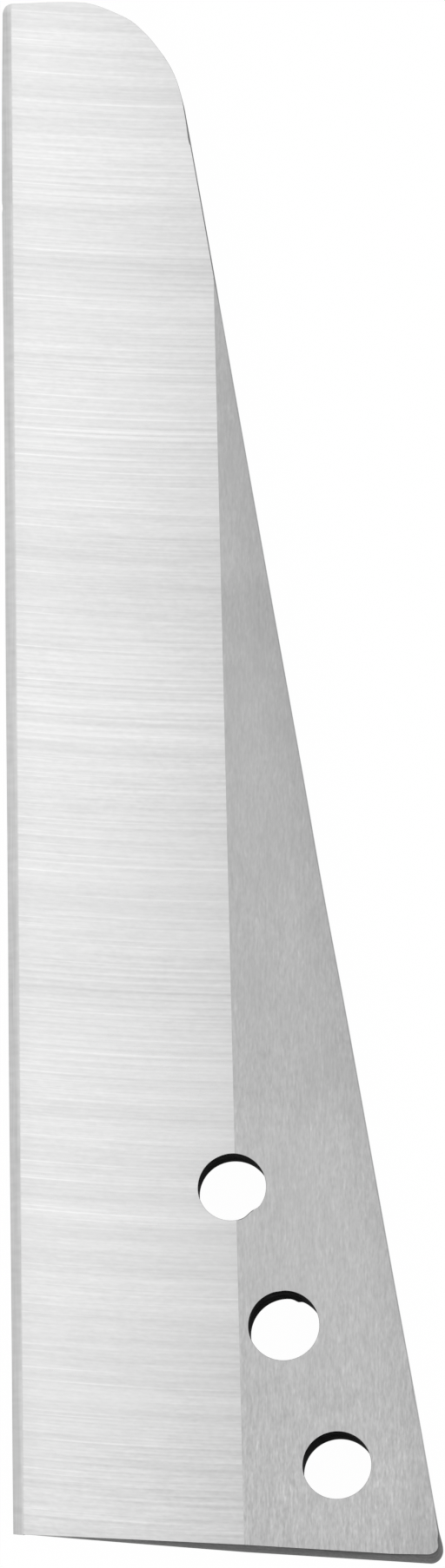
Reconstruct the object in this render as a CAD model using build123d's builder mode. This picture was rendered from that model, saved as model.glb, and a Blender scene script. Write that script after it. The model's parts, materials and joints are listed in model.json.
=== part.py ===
from build123d import *
from math import cos, radians, sin, sqrt, tan
import os

# Cable shear blade: one flat bar of tool steel, drilled with a slanting row of three
# screw holes and ground on both faces to a centred cutting edge along its long side.
# Millimetres. The origin is the middle hole's axis on the back face. +Y runs along the
# cutting edge to the tip, +X from the edge to the spine, +Z out of the front face.

# Bar and outline
thickness = 3.0
edge_offset = 21.6        # cutting edge, left of the middle hole
heel_below = 15.9         # heel end of the edge, below the middle hole
edge_length = 125.7
heel_width = 33.85        # edge to spine across the heel
heel_slope = 5.1          # degrees that the heel falls from edge to spine
spine_slope = 9.12        # degrees that the spine leans towards the edge
tip_slope = 1.9           # degrees that the tip's end falls from edge to spine
tip_flat = 6.8            # straight part of the tip's end
tip_round = 11.0
tip_corner_round = 0.9
heel_corner_round = 0.9

# Screw holes
hole_pitch = 12.0
hole_row_angle = 19.5     # degrees from the edge to the row
middle_hole = 5.6
end_hole = 5.4

# Grind, alike on both faces
bevel_width_heel = 18.3
bevel_width_tip = 16.7
edge_bevel_width = 0.8    # narrow second bevel at the cutting edge
shoulder_thickness = 0.4  # left where the two bevels meet
edge_land = 0.05          # dull strip left on the edge itself
wheel_overrun = 1.0       # how far the wheels pass outside the bar

# Outline corners
edge_x = -edge_offset
heel_y = -heel_below
tip_y = heel_y + edge_length
corner_x = edge_x + heel_width
corner_y = heel_y - heel_width * tan(radians(heel_slope))
flat_end = (
    edge_x + tip_flat * cos(radians(tip_slope)),
    tip_y - tip_flat * sin(radians(tip_slope)),
)

# The tip's round starts at the end of the flat and runs out tangent to the spine.
# Seen along the spine, it ends the height of a circle's segment below where it starts.
spine_up = (-sin(radians(spine_slope)), cos(radians(spine_slope)))
to_flat = (flat_end[0] - corner_x, flat_end[1] - corner_y)
up_spine = to_flat[0] * spine_up[0] + to_flat[1] * spine_up[1]
off_spine = to_flat[1] * spine_up[0] - to_flat[0] * spine_up[1]
round_start = up_spine - sqrt(2 * tip_round * off_spine - off_spine**2)
spine_end = (corner_x + round_start * spine_up[0], corner_y + round_start * spine_up[1])

hole_x = hole_pitch * sin(radians(hole_row_angle))
hole_y = hole_pitch * cos(radians(hole_row_angle))


def ground_off(y, bevel_width):
    """Steel that the wheels take off the front face, cut across the edge at y."""
    middle = thickness / 2
    with BuildSketch(Plane.XZ.offset(-y)) as section:
        with BuildLine():
            Polyline(
                (edge_x + bevel_width, thickness),
                (edge_x + edge_bevel_width, middle + shoulder_thickness / 2),
                (edge_x, middle + edge_land / 2),
                (edge_x - wheel_overrun, middle + edge_land / 2),
                (edge_x - wheel_overrun, thickness + wheel_overrun),
                (edge_x + bevel_width, thickness + wheel_overrun),
                close=True,
            )
        make_face()
    return section.sketch


with BuildPart() as blade:
    # Bar
    with BuildSketch() as outline:
        with BuildLine():
            Polyline(
                spine_end, (corner_x, corner_y), (edge_x, heel_y), (edge_x, tip_y), flat_end
            )
            TangentArc(spine_end, flat_end, tangent=spine_up)
        make_face()
        fillet(
            outline.vertices().sort_by_distance((corner_x, corner_y))[0], heel_corner_round
        )
        fillet(outline.vertices().sort_by_distance((edge_x, tip_y))[0], tip_corner_round)
    extrude(amount=thickness)

    # Screw holes
    with Locations((0, 0, thickness)):
        Hole(middle_hole / 2)
    with Locations((hole_x, -hole_y, thickness), (-hole_x, hole_y, thickness)):
        Hole(end_hole / 2)

    # Both bevels, ground off the front face and then alike off the back
    front_grind = loft(
        [ground_off(corner_y, bevel_width_heel), ground_off(tip_y, bevel_width_tip)],
        ruled=True,
        mode=Mode.SUBTRACT,
    )
    mirror(front_grind, about=Plane.XY.offset(thickness / 2), mode=Mode.SUBTRACT)

blade.part.label = "blade"
os.makedirs("parts", exist_ok=True)
export_step(blade.part, "parts/blade.step")
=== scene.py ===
# %% [markdown]
# # A cable shear blade in ground steel
#
# The real object is one flat bar of tool steel, ground bright on both faces. A wide bevel runs
# along its cutting side, with a much narrower one at the edge itself, and three screw holes
# hold it in the shear. The CAD file fixes its size. This lesson makes the skin that is seen:
# rolled rims, burrs at the punched holes, and the lines that the grinding wheels leave.
#
# A flat blade could be an extruded outline with a Bevel modifier. Here the skin is worked out
# with numpy, because the bevels, rims and burrs all follow from one formula for the thickness.

import json
import math

import bpy
import numpy as np
from mathutils import Matrix, Vector
from mathutils.geometry import delaunay_2d_cdt


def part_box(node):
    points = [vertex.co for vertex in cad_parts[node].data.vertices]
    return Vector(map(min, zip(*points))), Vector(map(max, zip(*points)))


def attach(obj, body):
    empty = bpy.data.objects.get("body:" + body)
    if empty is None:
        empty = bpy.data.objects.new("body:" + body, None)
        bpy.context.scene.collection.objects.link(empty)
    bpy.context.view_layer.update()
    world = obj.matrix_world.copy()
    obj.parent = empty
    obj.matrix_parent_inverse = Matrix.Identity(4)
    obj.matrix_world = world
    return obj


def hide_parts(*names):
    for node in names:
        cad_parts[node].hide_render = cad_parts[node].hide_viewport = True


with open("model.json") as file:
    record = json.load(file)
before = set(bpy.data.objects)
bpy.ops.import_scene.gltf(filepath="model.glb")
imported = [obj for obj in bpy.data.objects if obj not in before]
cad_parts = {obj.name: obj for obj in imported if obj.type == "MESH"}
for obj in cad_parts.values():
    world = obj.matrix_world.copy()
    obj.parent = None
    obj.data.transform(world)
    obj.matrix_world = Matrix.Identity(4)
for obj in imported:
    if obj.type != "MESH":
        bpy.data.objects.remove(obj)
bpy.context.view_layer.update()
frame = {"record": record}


# %% [markdown]
# ## Sizes
#
# The CAD solid and its mounts give the places that matter: the cutting edge, the tip, the
# thickness and the holes. The sizes that only shape the blade are written again here with
# their names, in metres, because the scene reads nothing but the frame.

# %% Sizes of the bar and its grind
mm = 0.001
lowest, highest = (np.array(corner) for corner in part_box("blade"))
thickness = highest[2] - lowest[2]
middle = (highest[2] + lowest[2]) / 2
edge_x = lowest[0]

heel_y = -15.9 * mm
edge_length = 125.7 * mm
heel_width = 33.85 * mm
heel_slope = math.radians(5.1)
spine_slope = math.radians(9.12)
tip_slope = math.radians(1.9)
tip_flat = 6.8 * mm
tip_round = 11.0 * mm
tip_corner_round = 0.9 * mm
heel_corner_round = 0.9 * mm

bevel_width_heel = 18.3 * mm
bevel_width_tip = 16.7 * mm
edge_bevel = 0.8 * mm
shoulder = 0.4 * mm
edge_land = 0.05 * mm

tip_y = heel_y + edge_length
corner_x = edge_x + heel_width
corner_y = heel_y - heel_width * math.tan(heel_slope)
print(f"edge at x {edge_x / mm:.1f} mm, from y {heel_y / mm:.1f} to {tip_y / mm:.1f} mm")

# %% [markdown]
# ## The grind as one formula
#
# Both faces are ground alike, so half of the bar's thickness at a point of its plan says
# everything: 1.5 mm on the flat, a straight fall across the wide bevel, and a steeper one
# across the narrow bevel, to the dull land on the edge.


# %% Half thickness
def bevel_width(y):
    """The wide bevel's width at y, in a straight line from the heel's to the tip's."""
    return np.interp(y, [corner_y, tip_y], [bevel_width_heel, bevel_width_tip])


def half_thickness(plan):
    """Half the bar at plan points: the least of the flat, the wide bevel and the narrow one.

    Each bevel is a straight line in d, the distance from the cutting edge."""
    d = plan[..., 0] - edge_x
    rise = (d - edge_bevel) / (bevel_width(plan[..., 1]) - edge_bevel)
    wide = (shoulder + (thickness - shoulder) * rise) / 2
    narrow = (edge_land + (shoulder - edge_land) * d / edge_bevel) / 2
    return np.minimum(thickness / 2, np.where(d < edge_bevel, narrow, wide))


across = np.array([[edge_x + d * mm, 0.0] for d in (0, 0.8, 5, 10, 20)])
print("half thickness from the edge in mm:", (half_thickness(across) / mm).round(3))

# %% [markdown]
# ## The outline
#
# Seen from the front, the blade is four straight sides and three rounds. It is walked
# anticlockwise as a closed row of points: heel, corner, spine, tip, and back down the edge.


# %% Straight sides and rounds
def run(start, end, step):
    """Points in equal steps on the straight line from start to end, without its end."""
    start, end = np.array(start), np.array(end)
    count = max(1, round(np.linalg.norm(end - start) / step))
    return start + np.arange(count)[:, None] / count * (end - start)


def arc(centre, radius, first, last, step):
    """Points on a circle from the angle first to the angle last, without its end."""
    count = max(2, round(abs(last - first) * radius / step))
    angle = first + (last - first) * np.arange(count) / count
    return np.array(centre) + radius * np.stack([np.cos(angle), np.sin(angle)], axis=1)


def left_of(way):
    """A way, or many, turned a quarter to the left: x, y becomes -y, x."""
    return np.stack([-way[..., 1], way[..., 0]], axis=-1)


def corner_arc(corner, way_in, way_out, radius, step):
    """(start, points, end) of the round that replaces a corner on a left turn.

    It starts radius * tan(half the turn) before the corner, and its centre is to the left."""
    turn = math.acos(way_in @ way_out)
    reach = radius * math.tan(turn / 2)
    start, end = corner - reach * way_in, corner + reach * way_out
    centre = start + radius * left_of(way_in)
    first = math.atan2(*(start - centre)[::-1])
    return start, arc(centre, radius, first, first + turn, step), end


print("a 1 mm run in steps of 0.5 mm:", (run((0, 0), (mm, 0), 0.5 * mm) / mm).tolist())

# %% Where the sides meet
heel_way = np.array([math.cos(heel_slope), -math.sin(heel_slope)])
spine_way = np.array([-math.sin(spine_slope), math.cos(spine_slope)])
tip_way = np.array([-math.cos(tip_slope), math.sin(tip_slope)])
edge_way = np.array([0.0, -1.0])

edge_foot = np.array([edge_x, heel_y])
heel_corner = np.array([corner_x, corner_y])
tip_corner = np.array([edge_x, tip_y])
flat_end = tip_corner - tip_flat * tip_way

# The tip's big round starts tangent to the spine and ends where the tip's flat begins.
to_flat = flat_end - heel_corner
off_spine = to_flat @ left_of(spine_way)
along_spine = to_flat @ spine_way
round_start = along_spine - math.sqrt(2 * tip_round * off_spine - off_spine**2)
spine_end = heel_corner + round_start * spine_way
tip_centre = spine_end + tip_round * left_of(spine_way)
round_end = math.atan2(*(flat_end - tip_centre)[::-1])
print("the spine ends at", (spine_end / mm).round(2), "mm")

# %% Walk round the blade
end_step = 0.5 * mm  # between points on the heel and the tip's flat
side_step = 0.25 * mm  # on the two long sides
tip_step = 0.3 * mm  # on the tip's big round
corner_step = 0.08 * mm  # on the two small ones

corner_start, corner_points, corner_end = corner_arc(
    heel_corner, heel_way, spine_way, heel_corner_round, corner_step
)
nose_start, nose_points, nose_end = corner_arc(
    tip_corner, tip_way, edge_way, tip_corner_round, corner_step
)
outline = np.concatenate([
    run(edge_foot, corner_start, end_step),
    corner_points,
    run(corner_end, spine_end, side_step),
    arc(tip_centre, tip_round, spine_slope, round_end, tip_step),
    run(flat_end, nose_start, end_step),
    nose_points,
    run(nose_end, edge_foot, side_step),
])
print(len(outline), "points round the blade")

# %% [markdown]
# ## The holes
#
# The holes are walked clockwise. Then steel is on the left of every path, both round
# the blade and round its holes, and one rule finds the way into the steel.

# %% Holes at the screw mounts
hole_step = 0.12 * mm
mounts = {mount["name"]: mount for mount in frame["record"]["mounts"]}
hole_names = ["screw_hole_tip", "screw_hole_middle", "screw_hole_heel"]
hole_places = [np.array(mounts[name]["pos_m"][:2]) for name in hole_names]
hole_radii = [mounts[name]["dims"]["r_mm"] * mm for name in hole_names]
holes = [
    arc(place, radius, 2 * math.pi, 0.0, hole_step)
    for place, radius in zip(hole_places, hole_radii)
]
print("hole radii in mm:", [round(radius / mm, 2) for radius in hole_radii])

# %% [markdown]
# ## Rims and walls
#
# Every cut edge of the real blade is broken by a few hundredths of a millimetre, which is
# what catches the light round a hole. A rim and wall together are a profile carried along
# the path: a quarter round down from the front face, the straight wall, and a quarter round
# on to the back face. At the cutting edge the profile shrinks with the land.

# %% The profile
rim = 0.06 * mm
rim_share = 0.6  # the most that a rim takes of the half thickness, at the thin cutting edge
quarter = np.linspace(0, math.pi / 2, 5)
down_wall = np.array([0.0, 0.12, 0.35, 0.65, 0.88, 1.0])

# For each station of the profile, from the front face to the back one: how far it is inset
# and dropped, in rim radii, and how far down the wall it is, as a share.
rim_faces = len(quarter) - 1
on_wall = np.zeros(len(down_wall) - 2)
inset_rims = np.concatenate([1 - np.sin(quarter), on_wall, 1 - np.sin(quarter[::-1])])
drop_rims = np.concatenate([1 - np.cos(quarter), on_wall + 1, 1 - np.cos(quarter[::-1])])
depth = np.concatenate([np.zeros(rim_faces), down_wall, np.ones(rim_faces)])
stations = len(depth)
print(stations, "stations from the front face to the back one")


# %% Carry the profile along a path
def inward(path):
    """The mitred way into the steel at each point of a closed path.

    Moving every point by this much times a distance shifts each side by that distance."""
    side = np.roll(path, -1, axis=0) - path
    side /= np.linalg.norm(side, axis=1, keepdims=True)
    after = left_of(side)
    before = np.roll(after, 1, axis=0)
    return (after + before) / (1 + (after * before).sum(axis=1, keepdims=True))


def rim_radius(path):
    """The rim's radius along a path, never more than its share of the half thickness."""
    return np.minimum(rim, rim_share * half_thickness(path))


def wall_band(path, wear):
    """Points of rims and wall: the profile carried along a closed path.

    A station is moved in by its inset times the rim's radius, and in or out by the wear.
    Its height is the face's, less its drop, and between the rims it goes straight down."""
    radius = rim_radius(path)[:, None]
    shift = inset_rims * radius + wear(path)
    plan = path[:, None, :] + inward(path)[:, None, :] * shift[..., None]
    top = half_thickness(plan) - drop_rims * radius
    z = middle + top * (1 - 2 * depth)
    return np.concatenate([plan, z[..., None]], axis=2)


print(f"rim radius at the edge: {rim_radius(edge_foot) / mm:.3f} mm")

# %% [markdown]
# ## Burrs and wear
#
# Small faults make the punched and cut edges real. A burr stands into the hole nearest the
# tip, and another on the far rim of the middle one, whose near rim has a flat spot. The holes
# are a tenth of a millimetre wider at the back, where the punch broke through, and a little
# off centre there. The heel's corner is battered, and there is one nick in the edge and one
# small step in the spine near the tip.
#
# The sides are not quite straight either. Grinding by hand left the spine hollow by 0.09 mm
# and the edge wavy by half of that, and the last 8 mm of edge at the tip are worn back.
#
# Such faults could be sculpted. Here each is a distance by which the wall is pushed into the
# steel at a place on its path, or out of it where the distance is negative. Its place and
# size are known that way, and the skin stays closed.


# %% Bumps and hills
def bump(place, centre, before, after):
    """A hill of height 1 at centre, whose two sides fall over different widths."""
    width = np.where(place < centre, before, after)
    return np.exp(-(((place - centre) / width) ** 2))


def hills(place, shapes):
    """A sum of bumps in metres, each given in mm: its centre, height and two widths."""
    return mm * sum(
        height * bump(place / mm, centre, before, after)
        for centre, height, before, after in shapes
    )


print("a bump at its centre and a width away:", bump(np.array([0.0, 1.0]), 0, 1, 1).round(2))

# %% Uneven sides
# Hills along y on the edge and the spine, and along x on the tip, in mm: the centre, the
# height into the steel, and the widths before and after it.
edge_hills = [
    (109.8, 0.12, 5.5, 5.0), (93.0, -0.055, 11.0, 5.5), (53.0, -0.05, 16.0, 16.0),
    (22.0, -0.052, 16.0, 16.0), (-10.0, -0.018, 6.0, 8.0), (92.7, 0.07, 0.15, 0.25),
]
spine_hills = [
    (95.0, -0.027, 12.0, 6.0), (58.0, 0.045, 24.0, 18.0), (36.0, 0.07, 7.0, 7.0),
    (-6.0, -0.036, 8.0, 6.0),
]
spine_dents = [(97.35, 0.08, 0.15, 1.3), (-6.0, 0.06, 0.6, 0.9)]
tip_hills = [
    (-17.6, -0.045, 1.6, 1.6), (-14.9, 0.065, 0.5, 0.7), (-13.0, 0.03, 1.0, 0.7),
    (-11.1, -0.085, 0.7, 0.8), (-8.8, 0.055, 0.6, 0.7),
]
print("hills on the edge, spine and tip:", [len(edge_hills), len(spine_hills), len(tip_hills)])

# %% Wear of the outline
tip_begins = 99.0 * mm
edge_reach = 0.35 * mm  # how far the edge's wear goes round its ends
on_spine_line = 0.01 * mm

# At the heel: its corner is battered this near the spine, pushed in at the front and out at
# the back. Its wall leans in at the front towards the corner, and at the back by the edge.
battered = 0.9 * mm
pushed_in, front_place, front_width = 0.17 * mm, 1.2 * mm, 0.55 * mm
pushed_out, back_place, back_widths = 0.09 * mm, 1.5 * mm, (0.6 * mm, 0.8 * mm)
heel_lean, lean_start, lean_run = 0.21 * mm, -10.0 * mm, 22.0 * mm
edge_tuck, tuck_width, least_half = 0.09 * mm, 6.0 * mm, 0.2 * mm


def outline_wear(path):
    """The battered corner at the heel, the heel's leaning wall and the uneven sides.

    The corner has a bump on each rim. The heel's lean grows along x, less 1 for each mm up
    the spine's way, so only the wall's last 4 mm have it, and its tuck fades exponentially
    from the edge. A sum of hills makes each side uneven."""
    x, y = path[:, 0], path[:, 1]
    up = (path - heel_corner) @ spine_way
    out = np.abs((path - heel_corner) @ left_of(spine_way))
    at_corner = out < battered
    rubbed = pushed_in * bump(up, front_place, front_width, front_width) * at_corner
    spread = pushed_out * bump(up, back_place, *back_widths) * at_corner
    lean = np.clip((x - lean_start) / lean_run, 0, 1) * np.clip(1 - up / mm, 0, 1)
    tucked = edge_tuck * np.exp(-(x - edge_x) / tuck_width) * (y < heel_y)

    on_edge = np.clip(1 - (x - edge_x) / edge_reach, 0, 1) * (y > heel_y)
    on_spine = out < on_spine_line
    at_tip = (y > tip_begins) & (on_edge == 0) & ~on_spine
    uneven = hills(y, edge_hills) * on_edge + hills(y, spine_hills) * on_spine
    uneven = uneven + hills(x, tip_hills) * at_tip

    front = rubbed + heel_lean * lean + hills(y, spine_dents) * on_spine
    back = tucked * (half_thickness(path) > least_half) - spread
    return front[:, None] * (1 - depth) + back[:, None] * depth + uneven[:, None]


worst = np.abs(outline_wear(outline)).max()
print(f"the outline is moved by {worst / mm:.2f} mm at most")


# %% Wear of the holes
def bearing(plan, centre):
    """The angle in degrees, anticlockwise from +X, of plan points seen from a centre."""
    return np.degrees(np.arctan2(plan[:, 1] - centre[1], plan[:, 0] - centre[0]))


def hole_wear(centre, front_shift, back_shift, flare, burrs):
    """Wear for a hole, in mm: its front and back rims each moved by a vector, and its burrs.

    A shift pushes the rim into the steel by its share along the radius, and the back rim is
    wider by the flare. A burr stands out at an angle in degrees, and fades with depth as its
    last value says."""

    def wear(path):
        way = (path - centre) / np.linalg.norm(path - centre, axis=1, keepdims=True)
        degrees = bearing(path, centre)
        front, back = way @ np.array(front_shift) * mm, way @ np.array(back_shift) * mm
        push = front[:, None] * (1 - depth) + (back[:, None] + flare * mm) * depth
        for angle, height, before, after, fade in burrs:
            stands_out = height * mm * bump(degrees, angle, before, after)
            push = push - stands_out[:, None] * fade(depth)
        return push

    return wear


def front_only(down):
    """1 at the front rim, in a straight line to 0 at two fifths of the way down."""
    return np.clip(1 - 2.5 * down, 0, 1)


def back_only(down):
    """0 for three fifths of the way down, then in a straight line to 1 at the back rim."""
    return np.clip(2.5 * down - 1.5, 0, 1)


# Burrs: the angle, the height in mm, the degrees that each side takes, and the fade.
tip_burr = (-52.5, 0.205, 14, 11, front_only)
middle_burr = (68.5, 0.135, 4.5, 8, back_only)
flat_spot = (97, 0.03, 6, 6, front_only)
wears = [
    outline_wear,
    hole_wear(hole_places[0], (0.04, -0.02), (0.09, -0.09), 0.085, [tip_burr]),
    hole_wear(hole_places[1], (0.005, 0.0), (0.10, -0.12), 0.08, [middle_burr, flat_spot]),
    hole_wear(hole_places[2], (0.045, -0.02), (0.09, -0.16), 0.12, []),
]
print("wear for", len(wears), "paths")

# %% [markdown]
# ## Where the creases meet the rims
#
# The bevels meet each other and the flat in straight creases. For a clean crease the mesh
# needs a point wherever one crosses a rim, so such points are added to the paths first.


# %% Crease crossings
def wide_crease(plan):
    """Distance past the line between the wide bevel and the flat."""
    return plan[:, 0] - edge_x - bevel_width(plan[:, 1])


def narrow_crease(plan):
    """Distance past the line between the narrow bevel and the wide one."""
    return plan[:, 0] - edge_x - edge_bevel


creases = [narrow_crease, wide_crease]


def inner_loop(path):
    """The path moved in by the rim's radius: where the flat faces begin."""
    return path + inward(path) * rim_radius(path)[:, None]


def crossings(loop, crease):
    """(before, share): the point before each crossing of a loop, and how far on it lies."""
    past = crease(loop)
    following = np.roll(past, -1)
    before = np.flatnonzero((past > 0) != (following > 0))
    return before, past[before] / (past[before] - following[before])


def with_crossings(path, crease):
    """The path with a point added, by straight-line shares, where its loop meets a crease."""
    before, share = crossings(inner_loop(path), crease)
    added = path[before] + share[:, None] * (np.roll(path, -1, axis=0) - path)[before]
    return np.insert(path, before + 1, added, axis=0)


paths = [outline, *holes]
for crease in creases:
    paths = [with_crossings(path, crease) for path in paths]
bands = [wall_band(path, wear) for path, wear in zip(paths, wears)]
print("points on each path:", [len(path) for path in paths])

# %% [markdown]
# ## The flat faces
#
# Inside the rims each face is a plan cut into triangles. A constrained Delaunay
# triangulation keeps the rims and creases as lines of the mesh and fills the rest evenly.
# The front and back use the same triangles, the back's turned over.

# %% Links round the loops
loops = [inner_loop(path) for path in paths]
loop_starts = np.cumsum([0] + [len(loop) for loop in loops])


def ring(start, count):
    """Links from each of count points to the next, and from the last to the first."""
    here = np.arange(count)
    return start + np.stack([here, (here + 1) % count], axis=1)


plan_points = np.concatenate(loops)
links = np.concatenate([ring(start, len(loop)) for start, loop in zip(loop_starts, loops)])
print(len(links), "links round", len(loops), "loops")

# %% Links along the creases
grid_step = 2.0 * mm


def crease_run(crease, number):
    """Plan points and links along one crease, from rim to rim, numbered from number.

    Each crossing has a point of its own on the loop: the nearer end of the side it is on."""
    plan, crossing = np.concatenate(loops), []
    for start, loop in zip(loop_starts, loops):
        before, share = crossings(loop, crease)
        crossing.append(start + (before + np.round(share).astype(int)) % len(loop))
    crossing = np.concatenate(crossing)
    crossing = crossing[np.argsort(plan[crossing, 1])]
    points, links = [], []
    for low, high in crossing.reshape(-1, 2):
        added = run(plan[low], plan[high], grid_step)[1:]
        chain = np.concatenate([[low], number + np.arange(len(added)), [high]])
        links.append(np.stack([chain[:-1], chain[1:]], axis=1))
        points.append(added)
        number += len(added)
    return np.concatenate(points), np.concatenate(links)


for crease in creases:
    added, more = crease_run(crease, len(plan_points))
    plan_points, links = np.concatenate([plan_points, added]), np.concatenate([links, more])
    print(len(added), "points along a crease")

# %% A grid over the rest
rim_clearance = 0.7 * mm
crease_clearance = 0.5 * mm


def distance_inside(points, loop, step=4):
    """How far points are inside a left-turning loop: the least distance to its sides.

    Every fourth point of the loop is enough for its sides, and the loop has no hollows."""
    corners = loop[::step]
    side = np.roll(corners, -1, axis=0) - corners
    side /= np.linalg.norm(side, axis=1, keepdims=True)
    return ((points[:, None, :] - corners) * left_of(side)).sum(axis=2).min(axis=1)


grid_x, grid_y = np.meshgrid(
    np.arange(edge_x, corner_x, grid_step), np.arange(corner_y, tip_y, grid_step)
)
every_other_row = np.round(grid_y / grid_step) % 2
grid = np.stack([grid_x + every_other_row * grid_step / 2, grid_y], axis=-1).reshape(-1, 2)
clear = distance_inside(grid, loops[0]) > rim_clearance
for place, radius in zip(hole_places, hole_radii):
    clear &= np.linalg.norm(grid - place, axis=1) > radius + rim_clearance
for crease in creases:
    clear &= np.abs(crease(grid)) > crease_clearance
plan_points = np.concatenate([plan_points, grid[clear]])
print(len(plan_points), "plan points,", clear.sum(), "of them on the inner grid")

# %% Cut the plan into triangles
inside_links, nearness, with_origins = 1, 1e-7, True
least_area = 1e-6 * mm**2
cut_points, _, cut_faces, origins, _, _ = delaunay_2d_cdt(
    (plan_points / mm).tolist(), links.tolist(), [], inside_links, nearness, with_origins
)
plan_number = np.array([came_from[0] for came_from in origins])
triangles = plan_number[np.array(cut_faces)]

# Steel is on the left of every loop. So a triangle whose corners are all on one loop, but
# are met in the other order, fills a hole or lies outside. One with no area is left out too.
loop_number = np.searchsorted(loop_starts, triangles, side="right")
one_loop = (loop_number == loop_number[:, :1]).all(axis=1) & (loop_number[:, 0] <= len(loops))
backwards = (np.roll(triangles, -1, axis=1) < triangles).sum(axis=1) == 2
first, second, third = (plan_points[triangles[:, corner]] for corner in range(3))
area = np.linalg.det(np.stack([second - first, third - first], axis=1)) / 2
triangles = triangles[~(one_loop & backwards) & (area > least_area)]
centres = plan_points[triangles].mean(axis=1)
print(len(cut_points) - len(plan_points), "points gained,", len(triangles), "triangles a face")

# %% [markdown]
# ## One watertight skin
#
# The first and last stations of each band are the rims of the faces, so faces and bands
# share those points, and the skin closes with nothing to weld.

# %% Number the points
band_starts = np.cumsum([0] + [band.shape[0] * stations for band in bands])
rim_points = [band_starts[i] + np.arange(len(path)) * stations for i, path in enumerate(paths)]
own = plan_points[loop_starts[-1] :]
front_numbers = np.concatenate([*rim_points, band_starts[-1] + np.arange(len(own))])
back_numbers = np.concatenate([
    *[points + stations - 1 for points in rim_points],
    band_starts[-1] + len(own) + np.arange(len(own)),
])
half = half_thickness(own)
vertices = np.concatenate([
    *[band.reshape(-1, 3) for band in bands],
    np.column_stack([own, middle + half]),
    np.column_stack([own, middle - half]),
])
print(len(vertices), "points,", len(own), "of them on each face alone")


# %% Join the faces
def band_faces(start, count):
    """Quads of a band whose points are numbered station by station from start."""
    i, k = np.meshgrid(np.arange(count), np.arange(stations - 1), indexing="ij")
    here, there = start + i * stations + k, start + (i + 1) % count * stations + k
    return np.stack([here, here + 1, there + 1, there], axis=-1).reshape(-1, 4)


quads = np.concatenate([
    band_faces(start, len(path)) for start, path in zip(band_starts, paths)
])
front_faces = front_numbers[triangles]
back_faces = back_numbers[triangles][:, ::-1]

mesh = bpy.data.meshes.new("ground_blade")
mesh.from_pydata(
    vertices.tolist(), [], front_faces.tolist() + back_faces.tolist() + quads.tolist()
)
blade = bpy.data.objects.new("ground_blade", mesh)
bpy.context.scene.collection.objects.link(blade)
mesh.validate()
mesh.update()

edge_of_loop = np.zeros(len(mesh.loops), dtype=np.int32)
mesh.loops.foreach_get("edge_index", edge_of_loop)
edge_use = np.bincount(edge_of_loop, minlength=len(mesh.edges))
print(len(mesh.polygons), "faces; edges not shared by two faces:", (edge_use != 2).sum())

# %% [markdown]
# ## Which finish goes where
#
# The narrow bevel, the wide bevel and the flat were ground on different wheels, and the outer
# walls were cut before hardening. The holes are painted near black, a painted dark reflection.
# A face takes its finish from where it lies. The outer half of a rim goes with the face it
# rolls off.
# Faces stay flat, and only the rims and round walls are shaded smooth.

# %% Sort the faces by finish
EDGE_BEVEL, WIDE_BEVEL, FLAT, WALL, BORE = range(5)
sharp_angle = math.radians(40)


def face_finish(plan):
    """The finish of a ground face at plan points: which side of each crease it is on."""
    past_wide = np.where(wide_crease(plan) > 0, FLAT, WIDE_BEVEL)
    return np.where(narrow_crease(plan) > 0, past_wide, EDGE_BEVEL)


profile_faces = stations - 1
outer_half = rim_faces // 2
quad_station = np.tile(np.arange(profile_faces), len(quads) // profile_faces)
on_outline = np.arange(len(quads)) < len(paths[0]) * profile_faces
wall_finish = np.where(on_outline, WALL, BORE)
rolls_off = (quad_station < outer_half) | (quad_station >= profile_faces - outer_half)
quad_centres = vertices[quads].mean(axis=1)[:, :2]
at_land = on_outline & (narrow_crease(quad_centres) < 0)
quad_finish = np.where(rolls_off | at_land, face_finish(quad_centres), wall_finish)

# Beside the burr at the tip's hole, the front rim takes the hole's near-black finish as a
# painted shadow of the burr.
burr_shadow_angle, burr_shadow_to_each_side, burr_shadow_reach = -63.0, 15.0, 0.15 * mm
from_hole = np.linalg.norm(quad_centres - hole_places[0], axis=1)
turned = np.abs(bearing(quad_centres, hole_places[0]) - burr_shadow_angle)
in_burr_shadow = (from_hole < hole_radii[0] + burr_shadow_reach) & (turned < burr_shadow_to_each_side)
quad_finish = np.where(in_burr_shadow & (quad_station < rim_faces), BORE, quad_finish)

finish = np.concatenate([face_finish(centres), face_finish(centres), quad_finish])
smooth = np.concatenate([np.zeros(2 * len(triangles), bool), np.ones(len(quads), bool)])
mesh.polygons.foreach_set("material_index", finish.astype(np.int32))
mesh.polygons.foreach_set("use_smooth", smooth)
mesh.set_sharp_from_angle(angle=sharp_angle)
print("faces of each finish:", np.bincount(finish))

# %% [markdown]
# ## Shader maths as Python
#
# A node tree is long to write by hand. One small class wraps a socket, so that a sum written
# in Python adds its Math nodes, and one method makes every other node.


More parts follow.
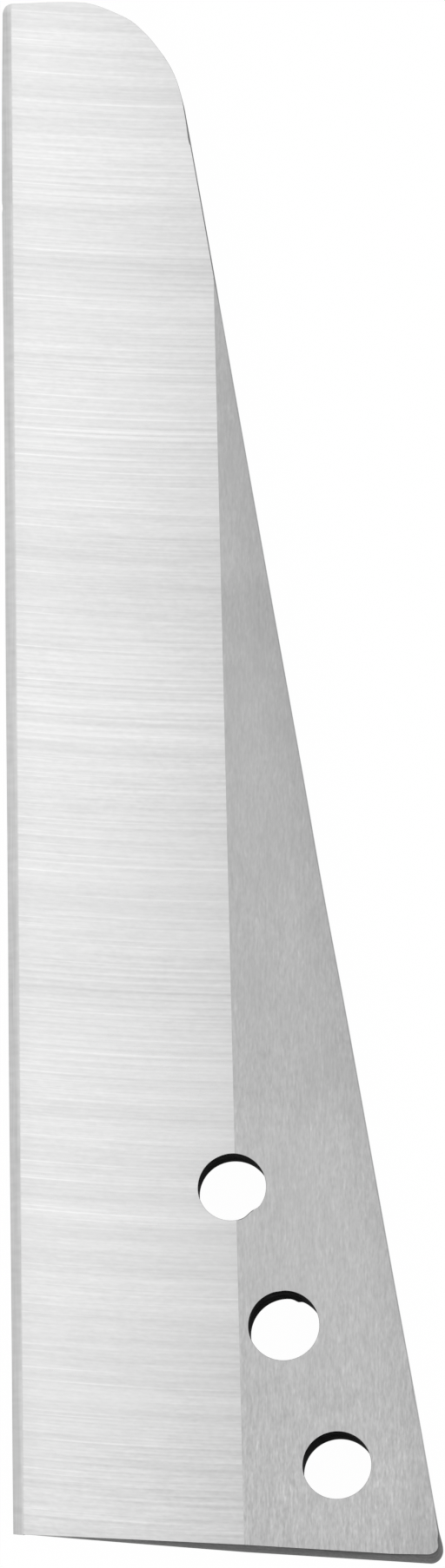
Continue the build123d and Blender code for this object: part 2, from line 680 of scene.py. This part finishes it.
# %% Wire
class Wire:
    """A socket in a material. Arithmetic on it adds Math nodes to the same tree.

    A Wire without a socket is where a tree's first nodes start from."""

    def __init__(self, tree, socket=None):
        self.tree, self.socket = tree, socket

    def node(self, kind, settings, inputs, outlet=0):
        """Any node: its settings are set first, then the values or links of its sockets."""
        made = self.tree.nodes.new(kind)
        for name, value in settings.items():
            setattr(made, name, value)
        for name, value in inputs.items():
            if isinstance(value, Wire):
                self.tree.links.new(value.socket, made.inputs[name])
            else:
                made.inputs[name].default_value = value
        return Wire(self.tree, made.outputs[outlet]) if made.outputs else made

    def math(self, operation, *others):
        """A Math node that takes this socket first, and then the others."""
        values = dict(enumerate((self, *others)))
        return self.node("ShaderNodeMath", {"operation": operation}, values)

    def __add__(self, other):
        return self.math("ADD", other)

    def __sub__(self, other):
        return self.math("SUBTRACT", other)

    def __mul__(self, other):
        return self.math("MULTIPLY", other)

    def __truediv__(self, other):
        return self.math("DIVIDE", other)

    def __pow__(self, other):
        return self.math("POWER", other)

    def __rsub__(self, other):
        return self * -1.0 + other

    __radd__ = __add__
    __rmul__ = __mul__

    def ramp(self, low, high, start=0.0, end=1.0):
        """start below low and end above high, with a soft S between them."""
        settings = {"interpolation_type": "SMOOTHSTEP"}
        places = {"From Min": low, "From Max": high, "To Min": start, "To Max": end}
        return self.node("ShaderNodeMapRange", settings, {"Value": self, **places})

    def steps(self, shapes):
        """A sum of soft steps along this socket, each with its two ends and its change."""
        return sum(self.ramp(low, high, 0.0, change) for low, high, change in shapes)

    def swells(self, shapes):
        """A sum of soft hills along this socket, each with a centre, a height and a reach."""
        return sum(
            (self - centre).math("ABSOLUTE").ramp(0.0, reach, height, 0.0)
            for centre, height, reach in shapes
        )


print("Wire can make:", [name for name in vars(Wire) if not name.startswith("_")])

# %% [markdown]
# ## Grey as the eye sees it
#
# The finishes are written as levels from 0 to 255, as a picture shows them, and turned into
# the light's own scale at the end. Steel is a neutral grey, so one number is its colour.
#
# All patterns are noise stretched along the way the wheel went. Places are in millimetres on
# the blade, so the lines stay on the steel when it moves. A third coordinate tells the front
# from the back, which makes the two faces different.


# %% Where a point is
class Place:
    """Where a point is on the blade in millimetres: x, y, z, and how far along x from a side.

    d is the distance from the cutting edge, and to_spine is the distance to the spine."""

    face_gap = 17.3  # how far apart the two faces lie in the noise

    def __init__(self, material):
        self.name, self.start = material.name, Wire(material.node_tree)
        coords = self.start.node("ShaderNodeTexCoord", {}, {}, "Object")
        split = {"Vector": coords}
        self.x, self.y, self.z = (
            self.start.node("ShaderNodeSeparateXYZ", {}, split, axis) / mm for axis in "XYZ"
        )
        self.d = self.x - edge_x / mm
        spine_foot = (corner_x + corner_y * math.tan(spine_slope)) / mm
        self.to_spine = spine_foot - self.x - math.tan(spine_slope) * self.y
        self.face = self.z.math("GREATER_THAN", middle / mm) * self.face_gap

    def noise(self, a, b, size_a, size_b, detail=0.0, seed=0.0):
        """Noise from about -0.5 to 0.5, with lumps size_a long along a and size_b along b."""
        spot = {"X": a / size_a, "Y": b / size_b, "Z": self.face + seed}
        vector = self.start.node("ShaderNodeCombineXYZ", {}, spot)
        settings = {"noise_dimensions": "3D"}
        inputs = {"Vector": vector, "Scale": 1.0, "Detail": detail, "Roughness": 0.6}
        return self.start.node("ShaderNodeTexNoise", settings, inputs, "Fac") - 0.5


def new_finish(name):
    """A material with an empty tree, and the place tools in it."""
    material = bpy.data.materials.new(name)
    material.use_nodes = True
    material.node_tree.nodes.clear()
    return material, Place(material)


print(f"d is 0 at the edge, {-edge_x / mm:.1f} mm left of the middle hole")

# %% From level to steel
white_level = 255
screen_power = 2.2
relief_strength = 0.6


def finish_steel(place, level, roughness, relief, relief_height, glancing=1.0):
    """Ends a finish: grey level to colour, relief to bump, both into one metal shader.

    The colour is the level's share of white, to the power of the screen. A dull wall, seen
    at a glance, still mirrors its white surroundings: glancing holds that down, and keeps the
    wall as dark as its painted level."""
    grey = (level / white_level) ** screen_power
    height = {"Height": relief, "Strength": relief_strength, "Distance": relief_height}
    normal = place.start.node("ShaderNodeBump", {}, height)
    shader = {
        "Base Color": grey,
        "Metallic": 1.0,
        "Specular Tint": (glancing, glancing, glancing, 1.0),
        "Roughness": roughness,
        "Normal": normal,
    }
    steel = place.start.node("ShaderNodeBsdfPrincipled", {}, shader)
    place.start.node("ShaderNodeOutputMaterial", {}, {"Surface": steel})
    print(f"{place.name}: {len(place.start.tree.nodes)} nodes")


print("level 200 as light:", round((200 / white_level) ** screen_power, 3))

# %% [markdown]
# ## The wide bevel
#
# A large wheel crossed the blade here. Its lines run across, falling 8 degrees at the edge
# and flattening towards the crease, so they are arcs: each is a line of equal v, where v is
# y plus a slope times d, less a little d squared. Two kinds of line lie over each other.
#
# The feed moved the bar 0.565 mm for each turn of the wheel, and left a wave of that pitch
# that runs right across the bevel. It drifts in phase, and is deep in a dozen places only.
# The grit left lines of every length between the waves, at no fixed distance.
#
# The bevel's level is painted brighter than the flat's, partly for its finish and partly as a
# painted reflection, and it falls away from the edge as painted shade. It is darker towards
# the heel. All of this could be one stretched noise, but then the waves would lose their even
# pitch.

# %% Waves of the feed
wide_bevel, at = new_finish("wheel_ground_bevel")
line_slope, line_bend = 0.145, 0.0024
v = at.y + line_slope * at.d - line_bend * at.d * at.d

# The turns that the wheel made on the way to here, which drift by about a turn.
feed_pitch = 0.565
turns = v / feed_pitch + 2.2 * at.noise(at.d, v, 90.0, 9.0, seed=8.0)

# The waves are deep here: centre along v, how many levels deeper, and reach to each side.
deep_places = [
    (-11.5, 2.4, 6.0), (14.0, 1.7, 3.0), (22.5, 1.8, 6.5), (29.6, 3.0, 3.0), (44.0, 1.1, 7.0),
    (52.5, 2.2, 8.0), (57.5, 2.6, 5.0), (74.5, 3.2, 4.0), (80.3, 3.0, 4.0), (87.0, 2.0, 6.0),
    (95.0, 1.2, 4.0), (101.0, 1.6, 3.0),
]
comes_and_goes = 1.0 + 1.2 * at.noise(at.d, v, 80.0, 5.0, seed=9.0)
wave_depth = (1.0 + v.swells(deep_places)) * comes_and_goes

# A ripple of half the pitch lies on the waves, and is strong and weak in places of its own.
beat = (1.0 + 3.2 * at.noise(at.d, v, 60.0, 6.0, seed=10.0)).math("MAXIMUM", 0.1)
ripple = 1.4 * beat * (4 * math.pi * turns).math("SINE")
feed_waves = wave_depth * (2 * math.pi * turns).math("SINE") + ripple
print(len(deep_places), "deep places in waves of", feed_pitch, "mm")

# %% Lines of the grit
whole_lines = at.noise(at.d, v, 14.0, 0.30, detail=1.0, seed=1.0)
part_lines = at.noise(at.d, v, 2.4, 0.26, detail=1.0, seed=2.0)
short_lines = at.noise(at.d, v, 0.55, 0.24, detail=1.0, seed=3.0)
patch = at.noise(at.d, v, 9.0, 7.0, detail=1.0, seed=4.0)
scratches = at.noise(at.d, v, 24.0, 0.17, seed=7.0).ramp(0.14, 0.30)

# The lines are bolder in patches and at the heel, and the scratches beside the edge.
boldness = 1.0 + 1.1 * patch + at.y.ramp(-16.0, -6.0, 0.5, 0.0)
lines = (15.0 * whole_lines + 13.0 * part_lines + 11.0 * short_lines) * boldness
lines = lines + scratches * at.d.ramp(2.0, 15.0, 11.0, 6.0)
print("wide bevel so far:", len(wide_bevel.node_tree.nodes), "nodes")

# %% Broad tones of the wide bevel
# Lighter or darker places: centre along v, change of level, and reach to each side.
shades = [
    (-8.0, -1.0, 6.0), (32.0, -2.0, 12.0), (51.0, 2.4, 7.0), (62.5, -4.6, 8.0),
    (89.0, -2.8, 4.0), (95.5, 4.0, 7.0),
]
shade_bands = at.noise(at.d, v, 60.0, 1.4, detail=1.0, seed=5.0)
# Painted light: a bright level, as painted reflection, that falls away from the edge as
# painted shade.
tone = 221.9 - 0.27 * at.d - 0.052 * at.d * at.d + at.y.steps([(-22, 20, 7.0), (30, 70, 3.5)])
tone = tone + 18.0 * shade_bands + v.swells(shades)

# Beside the crease to the narrow bevel its level is painted duller, and dark on the crease
# itself, as painted shade.
tone = tone + at.d.ramp(0.8, 2.4, -3.0, 0.0) + at.d.ramp(0.70, 0.92, -27.0, 0.0)
level = tone + lines + feed_waves
roughness = 0.30 + 0.10 * part_lines + 0.10 * patch
finish_steel(at, level, roughness, whole_lines + short_lines, 0.02 * mm)

# %% [markdown]
# ## The flat
#
# The flat was ground lengthwise before the bevel was cut, on a finer wheel. It keeps short
# streaks along the blade, a tenth of a millimetre wide. Its level is painted a shade darker
# than the bevel's: partly its finish, and partly painted shade, for it spreads the light the
# other way.
# The streaks lean one degree from the edge. They could be an anisotropic shader, but the
# single streaks show at this size, so noise draws them.

# %% Flat finish
flat, at = new_finish("lengthwise_ground_flat")
streak_lean = 0.0175
lean = at.x - streak_lean * at.y
streaks = at.noise(lean, at.y, 0.16, 0.5, detail=1.0, seed=11.0)
long_streaks = at.noise(lean, at.y, 0.19, 1.5, detail=1.0, seed=12.0)
cloud = at.noise(lean, at.y, 3.0, 8.0, detail=1.0, seed=13.0)
dashes = at.noise(lean, at.y, 0.15, 0.9, seed=14.0).ramp(0.16, 0.34)

# Changes of level on the way to the tip, and duller places at the heel's corner and spine.
flat_steps = [
    (-18.5, -15.5, 3.0), (14.0, 21.0, -5.7), (22.0, 50.0, -2.0), (50.0, 59.0, -4.5),
    (59.5, 62.0, 5.0),
]
# Painted shade: the flat's level lies below the wide bevel's.
tone = 182.8 + at.y.steps(flat_steps) + at.to_spine.ramp(0.3, 3.2, -5.0, 0.0)
tone = tone + at.y.ramp(-17.5, -13.5, -5.0, 0.0) * at.d.ramp(28.0, 30.5)
contrast = 1.0 + at.y.steps([(-12.0, 4.0, -0.28), (10.0, 50.0, -0.22)])
marks = 35.0 * streaks * (1.0 + cloud) + 33.0 * long_streaks + 11.0 * dashes
level = tone + contrast * marks + 9.0 * cloud
finish_steel(at, level, 0.36 + 0.08 * streaks + 0.06 * cloud, streaks, 0.015 * mm)

# %% [markdown]
# ## The narrow bevel
#
# The cutting edge was honed along its length. Its lines follow the edge, with soft blotches
# across it where the hone bore harder. It is lightest at its crease and at the tip.

# %% Narrow bevel finish
edge_finish, at = new_finish("honed_edge_bevel")
hone_lines = at.noise(at.d, at.y, 0.13, 6.0, detail=1.0, seed=21.0)
blotches = at.noise(at.d, at.y, 1.2, 0.5, detail=1.0, seed=22.0)
slow_blotches = at.noise(at.d, at.y, 3.0, 14.0, detail=1.0, seed=23.0)
tone = 191.0 + at.y.steps([(18.0, 38.0, 3.5), (90.0, 96.0, -2.5), (108.9, 109.6, 14.0)])
tone = tone + at.d.ramp(0.42, 0.80, 0.0, 11.0)
level = tone + 24.0 * hone_lines + 20.0 * blotches + 9.0 * slow_blotches
finish_steel(at, level, 0.34 + 0.1 * hone_lines + 0.06 * blotches, hone_lines, 0.01 * mm)

# %% [markdown]
# ## Walls and holes
#
# The outer walls were cut before hardening and only brushed since. Their dark grey is a
# painted reflection of dark surroundings, with fine marks along them. The punched holes are
# painted near black, a painted dark reflection. One finish could do for both, but the brushed
# walls shine where the holes do not.

# %% Wall finish
wall, at = new_finish("hardened_cut_wall")
draw_marks = at.noise(at.z, at.x + at.y, 0.10, 5.0, detail=2.0, seed=31.0)
grain = at.noise(at.x + at.z, at.y - at.x, 0.35, 0.35, detail=2.0, seed=32.0)

# The spine's wall is painted lighter than the heel's and the tip's, as a painted sheen. The
# heel's wall is lighter at the edge too. Every wall is painted darker towards its front rim,
# as painted shade under the rim.
tone = 87.0 + 9.0 * (thickness / mm - at.z) + at.d.ramp(20.0, 33.0, 0.0, 7.0)
tone = tone + at.y.steps([(-17.5, -14.0, 82.0), (83.5, 86.5, -62.0)])
tone = tone + at.d.ramp(1.5, 6.0, 50.0, 0.0)

# A darker strip is painted under the heel's front rim, as the rim's shadow.
rim_shadow_strip = at.z.ramp(2.3, 2.8) * at.d.ramp(22.0, 25.0) * at.d.ramp(31.0, 32.5, 1.0, 0.0)
level = tone + 70.0 * draw_marks + 66.0 * grain - 24.0 * rim_shadow_strip
finish_steel(at, level, 0.50 + 0.12 * grain, draw_marks + grain, 0.005 * mm, glancing=0.6)

# %% Hole finish
bore, at = new_finish("bore_painted_dark")
rings = at.noise(at.z, at.x + at.y, 0.4, 7.0, detail=2.0, seed=41.0)
bore_mottle = at.noise(at.x + at.z, at.y, 0.3, 0.3, detail=2.0, seed=42.0)
# The near-black level is a painted dark reflection, mottled by two noises.
level = 48.0 + 50.0 * rings + 40.0 * bore_mottle
finish_steel(at, level, 0.6 + 0.2 * bore_mottle, rings + bore_mottle, 0.01 * mm, glancing=0.25)

# %% Give the finishes to the faces
# They go in the order of the finish numbers.
for material in (edge_finish, wide_bevel, flat, wall, bore):
    mesh.materials.append(material)
print("finishes:", [material.name for material in mesh.materials])

# %% [markdown]
# ## Floor
#
# The blade lies on pure white. The floor glows white for the camera and for reflections, and
# a small share of it is a matt white that keeps the blade's shadow and fades out with
# distance. From below it is clear, so that the blade's back can be seen. A plain white plane
# could do, but its shadows would turn the white grey.

# %% Floor
floor_size = 0.6
floor_gap = 0.3 * mm
blade_centre = (lowest + highest) / 2
floor_centre = (blade_centre[0], blade_centre[1], -floor_gap)
floor_corners = np.array([[-1, -1, 0], [1, -1, 0], [1, 1, 0], [-1, 1, 0]]) * floor_size
floor_mesh = bpy.data.meshes.new("floor")
floor_mesh.from_pydata((floor_corners + floor_centre).tolist(), [], [(0, 1, 2, 3)])
floor = bpy.data.objects.new("floor", floor_mesh)
bpy.context.scene.collection.objects.link(floor)
print(f"floor {2 * floor_size} m wide, {floor_gap / mm} mm below the blade")

# %% White ground
floor_material = bpy.data.materials.new("white_ground")
floor_material.use_nodes = True
floor_material.node_tree.nodes.clear()
ground = Wire(floor_material.node_tree)
shadow_share, fade_start, fade_end = 0.02, 0.03, 0.09
along_blade = (1.0, 0.45, 0.0)


def sees_white(start):
    """1 for rays from the camera, a reflection or a glass, which all show the background."""
    camera, glossy, through = (
        start.node("ShaderNodeLightPath", {}, {}, f"Is {kind} Ray")
        for kind in ("Camera", "Glossy", "Transmission")
    )
    return (camera + glossy + through).math("MINIMUM", 1.0)


def vector_maths(start, operation, vectors, outlet=0):
    """A Vector Math node on one vector or two."""
    settings = {"operation": operation}
    return start.node("ShaderNodeVectorMath", settings, dict(enumerate(vectors)), outlet)


# The shadow's share fades between two distances from the blade, which are longer along it.
coords = ground.node("ShaderNodeTexCoord", {}, {}, "Object")
offset = vector_maths(ground, "SUBTRACT", (coords, floor_centre))
stretched = vector_maths(ground, "MULTIPLY", (offset, along_blade))
away = vector_maths(ground, "LENGTH", (stretched,), "Value")
glow_share = away.ramp(fade_start, fade_end, 1.0 - shadow_share, 1.0)

matt = ground.node("ShaderNodeBsdfDiffuse", {}, {"Color": (1, 1, 1, 1)})
glow = ground.node("ShaderNodeEmission", {}, {"Color": (1, 1, 1, 1), "Strength": 1.0})
white_share = sees_white(ground) * glow_share
top = ground.node("ShaderNodeMixShader", {}, {0: white_share, 1: matt, 2: glow})
clear_below = ground.node("ShaderNodeBsdfTransparent", {}, {})
below = ground.node("ShaderNodeNewGeometry", {}, {}, "Backfacing")
surface = ground.node("ShaderNodeMixShader", {}, {0: below, 1: top, 2: clear_below})
ground.node("ShaderNodeOutputMaterial", {}, {"Surface": surface})
floor_mesh.materials.append(floor_material)
print("white_ground:", len(floor_material.node_tree.nodes), "nodes")

# %% [markdown]
# ## Sky and lamps
#
# Bright steel shows what stands round it. A white sky on all sides gives the even light of
# a tent. It is a tenth dimmer where it lights something matt, like the floor. A large weak
# softbox overhead stands where the front face mirrors it, and a small strong one beyond the
# heel lights the walls that face it.

# %% Sky
sky_light = 0.9
world = bpy.data.worlds.new("studio")
bpy.context.scene.world = world
world.use_nodes = True
world.node_tree.nodes.clear()
air = Wire(world.node_tree)
brightness = sky_light + (1.0 - sky_light) * sees_white(air)
sky = air.node("ShaderNodeBackground", {}, {"Color": (1, 1, 1, 1), "Strength": brightness})
air.node("ShaderNodeOutputWorld", {}, {"Surface": sky})
print("sky:", sky_light, "on matt things and 1.0 for the camera and for steel")


# %% Lamps
def softbox(name, way, distance, size, radiance):
    """A square area lamp that looks at the blade from a direction.

    Its power is pi times its area times the radiance that a reflection of it shows."""
    data = bpy.data.lights.new(name, "AREA")
    data.shape, data.size = "SQUARE", size
    data.energy = math.pi * size**2 * radiance
    lamp = bpy.data.objects.new(name, data)
    bpy.context.scene.collection.objects.link(lamp)
    way = Vector(way).normalized()
    lamp.matrix_world = Matrix.Translation(Vector(blade_centre) + way * distance) @ (
        way.to_track_quat("Z", "Y").to_matrix().to_4x4()
    )
    lamp.visible_camera = False
    print(f"{name}: {data.energy:.2f} W")


softbox("overhead_softbox", (-0.35, 0.45, 1.0), distance=1.2, size=1.0, radiance=0.04)
softbox("front_softbox", (0.3, -1.0, 0.55), distance=1.0, size=0.5, radiance=0.9)

# %% [markdown]
# ## Camera
#
# The photograph was taken nearly square on, from 14 degrees on the heel's side and 4 on the
# spine's side, with a long lens. Those angles come from how far the back rims of the holes
# and the heel's wall are shifted against the front ones.

# %% Camera
look_at = Vector((-4.453, 44.489, 1.5)) * mm  # the blade's point at the picture's centre
tilt_x, tilt_y, roll = math.radians(4.11), math.radians(14.271), math.radians(-0.648)
camera_distance, focal_length, sensor_width = 1.3, 375.4, 36.0

towards = Vector((math.tan(tilt_x), -math.tan(tilt_y), 1.0)).normalized()
right = Vector((0, 1, 0)).cross(towards).normalized()
up = towards.cross(right)
turned_right = math.cos(roll) * right + math.sin(roll) * up
turned_up = -math.sin(roll) * right + math.cos(roll) * up

camera_data = bpy.data.cameras.new("camera")
camera_data.sensor_width, camera_data.lens = sensor_width, focal_length
camera_data.clip_start, camera_data.clip_end = 0.05, 50.0
camera = bpy.data.objects.new("camera", camera_data)
bpy.context.scene.collection.objects.link(camera)
axes = Matrix((turned_right, turned_up, towards)).transposed().to_4x4()
camera.matrix_world = Matrix.Translation(look_at + camera_distance * towards) @ axes
bpy.context.scene.camera = camera
bpy.context.scene.view_settings.view_transform = "Standard"
print(f"camera {camera_distance} m away, with a {focal_length} mm lens")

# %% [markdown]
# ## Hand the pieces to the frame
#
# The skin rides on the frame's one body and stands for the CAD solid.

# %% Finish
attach(blade, "root")
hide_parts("blade")
